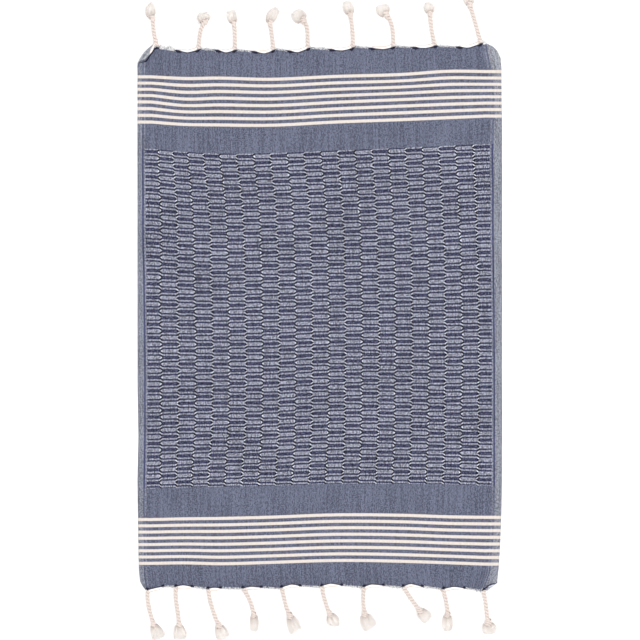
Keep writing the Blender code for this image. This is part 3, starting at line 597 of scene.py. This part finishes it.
def flat_grid():
    """The cloth laid out flat, as a bmesh of four-sided faces, finer near the cut ends."""
    low, high = LEFT_SIDE[0][1], LEFT_SIDE[-1][1]
    ends = np.arange(0, END_ZONE, END_STEP)
    middle = np.linspace(low + END_ZONE, high - END_ZONE, round((high - low - 2 * END_ZONE) / ROW_STEP))
    t = np.concatenate([ends, middle - low, (high - low) - ends[::-1]]) / (high - low)
    s = np.linspace(0, 1, COLUMNS + 1)
    sides = []
    for line in (np.array(LEFT_SIDE), np.array(RIGHT_SIDE)):
        length = t * (line[-1, 1] - line[0, 1]) + line[0, 1]
        sides.append(np.stack([np.interp(length, line[:, 1], line[:, 0]), length], axis=1))
    left, right = sides
    grid = left[:, None] * (1 - s[None, :, None]) + right[:, None] * s[None, :, None]
    for line, away in ((BOTTOM_LINE, t), (TOP_LINE, 1 - t)):
        weight = np.clip(1 - away * (high - low) / END_SHAPED, 0, 1)
        x = line[0, 0] + (line[-1, 0] - line[0, 0]) * s
        off = np.interp(x, line[:, 0], line[:, 1]) - (line[0, 1] + (line[-1, 1] - line[0, 1]) * s)
        grid[:, :, 1] += (weight**2 * (3 - 2 * weight))[:, None] * off[None, :]
    sheet = bmesh.new()
    rows = [[sheet.verts.new((x * MM, y * MM, 0)) for x, y in row] for row in grid]
    for lower, upper in zip(rows, rows[1:]):
        for a, b, c, d in zip(lower, lower[1:], upper[1:], upper):
            sheet.faces.new((a, b, c, d))
    return sheet


def cut_creases(sheet):
    """Adds the lines along which a turned corner bends."""
    step = FOLD_RADIUS * math.pi / FOLD_STEPS
    for crease in CREASES:
        angle = math.radians(crease.heading + 90)
        way = Vector((math.cos(angle), math.sin(angle), 0))
        start = Vector((crease.x, crease.y, 0)) * MM
        for i in range(FOLD_STEPS + 1 + math.ceil(crease.bow / step)):
            near = [
                face for face in sheet.faces
                if (face.calc_center_median() - start).dot(way) > -NEAR_CREASE * MM
            ]
            parts = dict.fromkeys(part for face in near for part in (*face.verts, *face.edges, face))
            bmesh.ops.bisect_plane(
                sheet, geom=list(parts), dist=0.02 * MM,
                plane_co=start + way * (i * step - FOLD_RADIUS) * MM, plane_no=way,
            )


def build_cloth():
    sheet = flat_grid()
    cut_creases(sheet)
    mesh = bpy.data.meshes.new("towel_cloth")
    sheet.to_mesh(mesh)
    sheet.free()
    flat = np.zeros(len(mesh.vertices) * 3)
    mesh.vertices.foreach_get("co", flat)
    points = flat.reshape(-1, 3) / MM
    x, y = points[:, 0].copy(), points[:, 1].copy()
    u, v = weave_place(x, y)
    points[:, 2] = relief(x, y, u, v)
    for crease in CREASES:
        past = turn_over(points, crease)
        u = np.where(past > 0, SELVEDGE_IN + crease.further + past, u)
    mesh.vertices.foreach_set("co", (points * MM).ravel())
    corners = np.zeros(len(mesh.loops), np.int32)
    mesh.loops.foreach_get("vertex_index", corners)
    weave = mesh.uv_layers.new(name="weave")
    weave.data.foreach_set("uv", np.stack([u[corners], v[corners]], axis=1).ravel())
    mesh.polygons.foreach_set("use_smooth", np.ones(len(mesh.polygons), bool))
    mesh.update()
    cloth = bpy.data.objects.new("towel_cloth", mesh)
    bpy.context.scene.collection.objects.link(cloth)
    mesh.materials.append(indigo_chambray())
    body = cloth.modifiers.new("thickness", "SOLIDIFY")
    body.thickness = SHEET * MM
    body.offset = 1.0
    return cloth


# ---------------------------------------------------------------- yarns
class Yarns:
    """Collects round yarns and fibres, and makes one mesh of them."""

    def __init__(self):
        self.points, self.faces, self.tips, self.grooves, self.count = [], [], [], [], 0

    def lay(self, paths, radii, sides, tips=0.0, grooves=0.0):
        """Adds closed tubes along paths (tubes, rings, 3). Each ring has a radius, and says how far it is towards a
        combed tip and how much painted shade or random darkening it carries."""
        paths = np.asarray(paths, float)
        tubes, rings, _ = paths.shape
        radii = np.broadcast_to(radii, (tubes, rings))
        ahead = np.gradient(paths, axis=1)
        ahead /= np.linalg.norm(ahead, axis=2, keepdims=True) + 1e-12
        first = np.cross(ahead[:, 0], (0.0, 0.0, 1.0)) + (1e-6, 0, 0)
        across = np.zeros_like(paths)
        across[:, 0] = first / np.linalg.norm(first, axis=1, keepdims=True)
        for i in range(1, rings):
            side = across[:, i - 1] - ahead[:, i] * (across[:, i - 1] * ahead[:, i]).sum(1, keepdims=True)
            across[:, i] = side / (np.linalg.norm(side, axis=1, keepdims=True) + 1e-12)
        up = np.cross(across, ahead)
        turn = np.arange(sides) * 2 * np.pi / sides
        ring = across[:, :, None] * np.cos(turn)[:, None] + up[:, :, None] * np.sin(turn)[:, None]
        points = paths[:, :, None] + ring * radii[:, :, None, None]
        start = self.count + (np.arange(tubes) * rings * sides)[:, None, None]
        near = start + (np.arange(rings - 1) * sides)[None, :, None] + np.arange(sides)[None, None, :]
        after = near - np.arange(sides) + (np.arange(sides) + 1) % sides
        walls = np.stack([near, after, after + sides, near + sides], axis=-1).reshape(-1, 4)
        self.faces += walls.tolist()
        caps = start[:, 0] + np.arange(sides)[None, :]
        self.faces += caps[:, ::-1].tolist() + (caps + (rings - 1) * sides).tolist()
        self.points.append(points.reshape(-1, 3))
        for values, kept in ((tips, self.tips), (grooves, self.grooves)):
            kept.append(np.repeat(np.broadcast_to(values, (tubes, rings)).ravel(), sides))
        self.count += tubes * rings * sides

    def make(self, name, material):
        mesh = bpy.data.meshes.new(name)
        points = np.concatenate(self.points)
        points[:, 2] = np.maximum(points[:, 2], 0.03)  # nothing sinks into the table
        mesh.from_pydata((points * MM).tolist(), [], self.faces)
        mesh.polygons.foreach_set("use_smooth", np.ones(len(mesh.polygons), bool))
        for kind, values in (("tip", self.tips), ("groove", self.grooves)):
            attribute = mesh.attributes.new(kind, "FLOAT", "POINT")
            attribute.data.foreach_set("value", np.concatenate(values).astype(np.float32))
        mesh.materials.append(material)
        made = bpy.data.objects.new(name, mesh)
        bpy.context.scene.collection.objects.link(made)
        return made


def heading(angle, side):
    """The level way that leaves the cloth's end at an angle to the straight way out; many, if given many."""
    turned = np.radians(angle)
    return np.stack([np.sin(turned), side * np.cos(turned), np.zeros_like(turned)], axis=-1)


def bezier(start, out, end, into, count):
    """Points on the curve that leaves start and reaches end with the two given headings."""
    reach = np.linalg.norm(end - start) / 3
    t = np.linspace(0, 1, count)[:, None]
    a, b = start + out * reach, end - into * reach
    return start * (1 - t) ** 3 + a * 3 * t * (1 - t) ** 2 + b * 3 * t * t * (1 - t) + end * t**3


def level_way(path):
    """The level way across a path at each of its points."""
    ahead = np.gradient(path, axis=0)
    across = np.stack([ahead[:, 1], -ahead[:, 0], np.zeros(len(path))], axis=1)
    return across / (np.linalg.norm(across, axis=1, keepdims=True) + 1e-12)


def along(path):
    """Length run at each point of a path."""
    return np.concatenate([[0], np.cumsum(np.linalg.norm(np.diff(path, axis=0), axis=1))])


UP = np.array((0.0, 0.0, 1.0))


def twist_cord(yarns, path):
    """Two plies laid round each other, each of its own twisted yarns."""
    run, across = along(path), level_way(path)
    lay = 2 * np.pi * run / TWIST_PITCH + rng.uniform(0, 2 * np.pi)
    paths, grooves = [], []
    for ply in range(2):
        turn = lay + ply * np.pi
        middle = path + PLY_OUT * (np.cos(turn)[:, None] * across + np.sin(turn)[:, None] * UP)
        for k in range(YARNS):
            own = 2 * np.pi * (k / YARNS - run / PLY_PITCH)
            spin = own + turn
            paths.append(middle + YARN_OUT * (np.cos(spin)[:, None] * across + np.sin(spin)[:, None] * UP))
            # Painted shade: a yarn is darker while it lies on the inner side of its ply, towards the other ply.
            grooves.append(np.clip(0.35 - 0.9 * np.cos(own), 0, 1))
    yarns.lay(np.array(paths), YARN, YARN_SIDES, grooves=np.array(grooves))


def tie_knot(yarns, row, side):
    """The overhand knot: turns of cord that lie slantwise round its middle."""
    place = np.array((row.knot_x, row.knot_y, row.knot * KNOT_FLATTENING / 2))
    axis = heading(0.5 * (row.into + row.turn) + KNOT_SLANT * side, side)
    level = np.array((axis[1], -axis[0], 0.0))
    pitch = row.knot * KNOT_LENGTH / row.turns
    strand = 0.5 * pitch
    t = np.linspace(0, 1, KNOT_TURN_POINTS * row.turns)
    turn = 2 * np.pi * row.turns * t + rng.uniform(0, 2 * np.pi)
    girth = (row.knot / 2 - strand * 0.85) * (0.80 + 0.20 * np.sin(np.pi * t))
    middle = (
        place + axis * ((t - 0.5) * row.turns * pitch)[:, None]
        + level * (girth * np.cos(turn))[:, None] + UP * (girth * KNOT_FLATTENING * np.sin(turn))[:, None]
    )
    outward = level * np.cos(turn)[:, None] + UP * np.sin(turn)[:, None]
    paths, grooves = [], []
    for k in range(YARNS):
        spin = 2 * np.pi * k / YARNS + 5 * t * row.turns
        paths.append(middle + 0.52 * strand * (np.cos(spin)[:, None] * axis + np.sin(spin)[:, None] * outward))
        # Painted shade: a yarn darkens as it turns away from the outside of the knot, and its inner side takes the
        # knot's darkest painted shade.
        grooves.append(np.clip(1.6 - 1.8 * np.sin(spin), 0, 2))
    yarns.lay(np.array(paths), 0.5 * strand, YARN_SIDES, grooves=np.array(grooves))
    core = place + axis * (np.linspace(-0.42, 0.42, 6) * row.knot)[:, None]
    yarns.lay(core[None], row.knot * KNOT_CORE * np.array((0.5, 0.9, 1, 1, 0.9, 0.5)), 8)


Brush = namedtuple("Brush", "line across half knot_top")


def comb_strands(yarns, brush, out, up, length, radius, sides, loose):
    """Lays strands along a brush, each at its own place out from the brush's middle and up from it, as shares of
    its half width and thickness, and each as long as its own share of the brush. Loose strands wander. Without a
    radius, the strands are thick enough to fill the brush."""
    s = np.linspace(0.08, 1, FIBRE_RINGS)[None, :] * length[:, None]
    marks = np.linspace(0, 1, BRUSH_POINTS)
    centre, across = (
        np.stack([np.interp(s, marks, values[:, k]) for k in range(3)], axis=-1)
        for values in (brush.line, brush.across)
    )
    width = np.interp(s, marks, brush.half)
    thick = brush.knot_top * 0.45 + (BRUSH_RESTS - brush.knot_top * 0.45) * np.minimum(1, 1.2 * s)
    each = (len(length), 1)
    wander = rng.normal(0, BOW_SPREAD, each) * s**1.5
    wander += RIPPLE * np.sin(s * rng.uniform(4, 10, each) + rng.uniform(0, 6, each)) * s
    run = np.linspace(0, 1, FIBRE_RINGS)
    if radius is None:
        size = np.minimum(thick * 0.85, width * 0.5) * np.interp(run, (0, 0.75, 1), (1.0, 1.0, 0.45))
    else:
        size = radius * np.interp(run, (0, 0.3, 0.75, 1), (0.7, 1.0, 0.85, 0.3))[None, :]
    paths = centre + across * (out[:, None] * (width - 0.3) + loose * wander)[..., None]
    paths[..., 2] = thick + 0.15 + up[:, None] * thick * 0.95
    yarns.lay(paths, size, sides, np.clip(s * 1.6, 0, 1), loose * rng.uniform(0, 0.7, each))


def comb_brush(yarns, row, side):
    """Combed-out ends that fan or belly out of the knot and settle on the table."""
    start = np.array((row.knot_x, row.knot_y, 0.0))
    tip = np.array((row.tip_x, row.tip_y, 0.0))
    line = bezier(start, heading(row.turn, side), tip, heading(row.curl, side), BRUSH_POINTS)
    half = 0.5 * curve_through((0, 0.5, 1), row.shape, np.linspace(0, 1, BRUSH_POINTS))
    brush = Brush(line, level_way(line), half, row.knot * KNOT_FLATTENING / 2)
    # Fine fibres are combed over the upper side of a soft body of thick strands laid side by side.
    around = rng.uniform(-0.1 * np.pi, 1.1 * np.pi, BRUSH_FIBRES)
    out = 0.78 + rng.gamma(1.3, 0.14, BRUSH_FIBRES)
    length = 1.06 - 0.08 * np.cos(around) ** 2 - rng.gamma(1.6, 0.10, BRUSH_FIBRES)
    body = np.linspace(-1, 1, BODY_STRANDS)
    comb_strands(yarns, brush, 0.66 * body, 0 * body, 0.82 - 0.16 * body**2, None, YARN_SIDES, 0.0)
    comb_strands(yarns, brush, out * np.cos(around), out * np.sin(around), length, FIBRE, FIBRE_SIDES, 1.0)


def lay_bundle(yarns, points, width, count=8):
    """A flat bundle of warp ends along points (x, y, z), narrower towards its last point. The outermost take the
    cord's painted shade colour, a painted shadow along the bundle's sides, and the rest are nearly as pale as the
    combed ends."""
    points = np.array(points, float)
    run = along(points)
    t = np.linspace(0, run[-1], max(6, round(run[-1] / 1.1)))
    path = np.stack([np.interp(t, run, points[:, k]) for k in range(3)], axis=1)
    for _ in range(3):
        path[1:-1] = (path[:-2] + 2 * path[1:-1] + path[2:]) / 4
    across = level_way(path)
    gather = np.interp(np.linspace(0, 1, len(path)), (0, 0.15, 0.8, 1), (0.8, 1, 1, 0.5))
    places = 2 * np.arange(count) / (count - 1) - 1
    paths = []
    for k, place in enumerate(places):
        sideways = (place * width + 0.12 * np.sin(t / 2.7 + 2.1 * k)) * gather
        paths.append(path + across * sideways[:, None] + UP * ((k % 2) * 0.34 * gather)[:, None])
    outer = (np.abs(places) > 0.9)[:, None]
    tips, grooves = np.where(outer, 0.0, 1.0), np.where(outer, 1.0, 0.2)
    yarns.lay(np.array(paths), 0.42 * gather[None, :], BUNDLE_SIDES, tips, grooves)


def edge_bundle(row, side):
    """Points along a scallop, just outside the cloth's edge, from inside the cord's root to the stitch."""
    points = [(row.root_x, edge_y(row.root_x, side) + side * out, z) for out, z in ((6.0, 2.2), (3.0, 1.9))]
    for share in np.linspace(0.12, 1.0, 8):
        x = row.root_x + (row.stitch_x - row.root_x) * share
        points.append((x, edge_y(x, side) + side * (1.9 - 1.0 * share), 0.85))
    return points


def build_tassel(name, row, scallop, side, material):
    yarns = Yarns()
    start = np.array((row.x, edge_y(row.x, side) + side * 1.2, CORD_HEIGHT))
    knot = np.array((row.knot_x, row.knot_y, row.knot * KNOT_FLATTENING / 2))
    path = bezier(start, heading(row.out, side), knot, heading(row.into, side), CORD_POINTS)
    path[:, 2] = CORD_HEIGHT + (knot[2] - CORD_HEIGHT) * np.linspace(0, 1, CORD_POINTS) ** 3
    twist_cord(yarns, path)
    tie_knot(yarns, row, side)
    comb_brush(yarns, row, side)
    if scallop:
        lay_bundle(yarns, edge_bundle(scallop, side), SCALLOP_BUNDLE)
    for leg in LEGS.get(name, ()):
        lay_bundle(yarns, leg, LEG_BUNDLE, count=6)
    made = yarns.make("twisted_tassel_" + name, material)
    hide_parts("tassel_" + name)
    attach(made, "root")
    return made


def sew_edge(name, side, tie, seam_and_shade, material):
    """Navy thread along each scallop, tied off beside the root and at the stitch, and along a turned corner, where it
    partly stands in for the shadow along the flap's edge.
    """
    yarns = Yarns()
    runs = []
    for row in TOP_EDGE if side > 0 else BOTTOM_EDGE:
        way = math.copysign(1.0, row.root_x - row.stitch_x)
        length = abs(row.root_x - row.stitch_x)
        start, end = tie.at_stitch - 2 * tie.stitch_half, length + tie.at_root + 2 * tie.root_half
        at = np.linspace(start, end, STITCH_POINTS)
        stitch = np.exp(-(((at - tie.at_stitch) / tie.stitch_half) ** 2))
        root = np.exp(-(((at - length - tie.at_root) / tie.root_half) ** 2))
        size = np.maximum(TIE_HALF * np.maximum(stitch, root), THREAD_HALF * ((at > 0) & (at < length)))
        x = row.stitch_x + way * at
        y = edge_y(x, side) - side * (0.35 + 0.55 * size)
        runs.append((x, y, upper_side(x, y) + 0.3 + 0.15 * size, size))
    # Along a turned corner the thread also stands in for the shadow along the flap's edge.
    seam_and_shade = np.array(seam_and_shade)
    at = np.linspace(0, 1, SEAM_POINTS)
    runs.append([curve_through(np.linspace(0, 1, len(seam_and_shade)), seam_and_shade[:, k], at) for k in range(4)])
    for x, y, z, size in runs:
        path = np.stack([x, y, z], axis=1)
        across = level_way(path)
        size = np.maximum(size, 0.08)
        paths = []
        for k in range(THREAD_STRANDS):
            spin = 2 * np.pi * (k / THREAD_STRANDS + np.arange(len(path)) / 9)
            off = np.cos(spin)[:, None] * across + 0.7 * np.sin(spin)[:, None] * UP
            paths.append(path + (0.52 * size)[:, None] * off)
        yarns.lay(np.array(paths), (0.55 * size)[None, :], YARN_SIDES)
    made = yarns.make(name, material)
    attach(made, "root")
    return made


def fray_edge(name, side, material):
    """Short broken warp ends along the plain stretches of a cut end, with a few thicker tufts on the top one."""
    yarns = Yarns()
    rows = TOP_EDGE if side > 0 else BOTTOM_EDGE
    line = TOP_LINE if side > 0 else BOTTOM_LINE
    low, high = line[0, 0] + 6, line[-1, 0] - 10
    x = rng.uniform(low, high, FLUFF)
    for row in rows:
        a, b = sorted((row.root_x, row.stitch_x))
        x = x[(x < a) | (x > b)]
    reach = np.full(len(x), FLUFF_REACH)
    for middle, half, length in TUFTS if side > 0 else ():
        x = np.append(x, rng.normal(middle, half / 2, TUFT_FIBRES))
        reach = np.append(reach, np.full(TUFT_FIBRES, length))
    count = len(x)
    pale = rng.random(count) < FLUFF_PALE
    angle = rng.normal(0, FLUFF_SPREAD, count)
    length = rng.gamma(4.0, reach / 4.0, count) + 0.4
    out = heading(angle, side)
    y = edge_y(x, side) - side * rng.uniform(-0.2, 2.0, count)
    base = np.stack([x, y, upper_side(x, y) + rng.uniform(-0.5, 0.4, count)], axis=1)
    t = np.linspace(0, 1, 3)[None, :, None]
    curl = rng.normal(0, 0.5, (count, 1, 3)) * t**2
    paths = base[:, None] + out[:, None] * (length[:, None, None] * t) + curl
    paths[..., 2] = np.maximum(paths[..., 2], 0.2)
    yarns.lay(paths, np.array((0.2, 0.16, 0.06))[None, :], FIBRE_SIDES, np.where(pale, 1.0, 0.0)[:, None])
    made = yarns.make(name, material)
    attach(made, "root")
    return made


# ---------------------------------------------------------------- studio
def build_studio():
    floor_mesh = bpy.data.meshes.new("floor")
    corners = [(x * FLOOR_HALF, y * FLOOR_HALF, 0) for x, y in ((-1, -1), (1, -1), (1, 1), (-1, 1))]
    floor_mesh.from_pydata(corners, [], [(0, 1, 2, 3)])
    floor_mesh.materials.append(painted_floor())
    floor = bpy.data.objects.new("floor", floor_mesh)
    bpy.context.scene.collection.objects.link(floor)
    world = bpy.data.worlds.new("studio")
    world.use_nodes = True
    world.node_tree.nodes["Background"].inputs["Color"].default_value = (1.0, 1.0, 1.0, 1.0)
    world.node_tree.nodes["Background"].inputs["Strength"].default_value = DAYLIGHT
    bpy.context.scene.world = world
    light = bpy.data.lights.new("softbox", "AREA")
    light.shape = "RECTANGLE"
    light.size = light.size_y = SOFTBOX_SIDE
    light.energy = SOFTBOX_POWER
    box = bpy.data.objects.new("softbox", light)
    box.location = SOFTBOX_AT
    box.rotation_mode = "QUATERNION"
    box.rotation_quaternion = (-Vector(SOFTBOX_AT)).to_track_quat("-Z", "Y")
    bpy.context.scene.collection.objects.link(box)
    camera = bpy.data.cameras.new("camera")
    camera.type = "PERSP"
    camera.sensor_width = SENSOR
    camera.lens = SENSOR * CAMERA_AT[2] / VIEW_WIDTH
    camera.clip_end = 50.0
    holder = bpy.data.objects.new("camera", camera)
    holder.location = CAMERA_AT
    bpy.context.scene.collection.objects.link(holder)
    bpy.context.scene.camera = holder
    bpy.context.scene.view_settings.view_transform = "Standard"


def main():
    build_studio()
    cloth = build_cloth()
    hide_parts("cloth")
    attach(cloth, "root")
    yarn, navy, fluff = unbleached_yarn(), navy_thread(), cut_fibres()
    # The outer tassel beside each turned corner has no scallop.
    for n, (row, scallop) in enumerate(zip(TOP_TASSELS, (None, *TOP_EDGE)), 1):
        build_tassel(f"top_{n}", row, scallop, 1, yarn)
    for n, (row, scallop) in enumerate(zip(BOTTOM_TASSELS, (*BOTTOM_EDGE, None)), 1):
        build_tassel(f"bottom_{n}", row, scallop, -1, yarn)
    sew_edge("edge_stitches_and_shade_top", 1, TOP_TIE, TOP_LEFT_SEAM_AND_SHADE, navy)
    sew_edge("edge_stitches_and_shade_bottom", -1, BOTTOM_TIE, BOTTOM_RIGHT_SEAM_AND_SHADE, navy)
    fray_edge("cut_end_fluff_top", 1, fluff)
    fray_edge("cut_end_fluff_bottom", -1, fluff)


main()
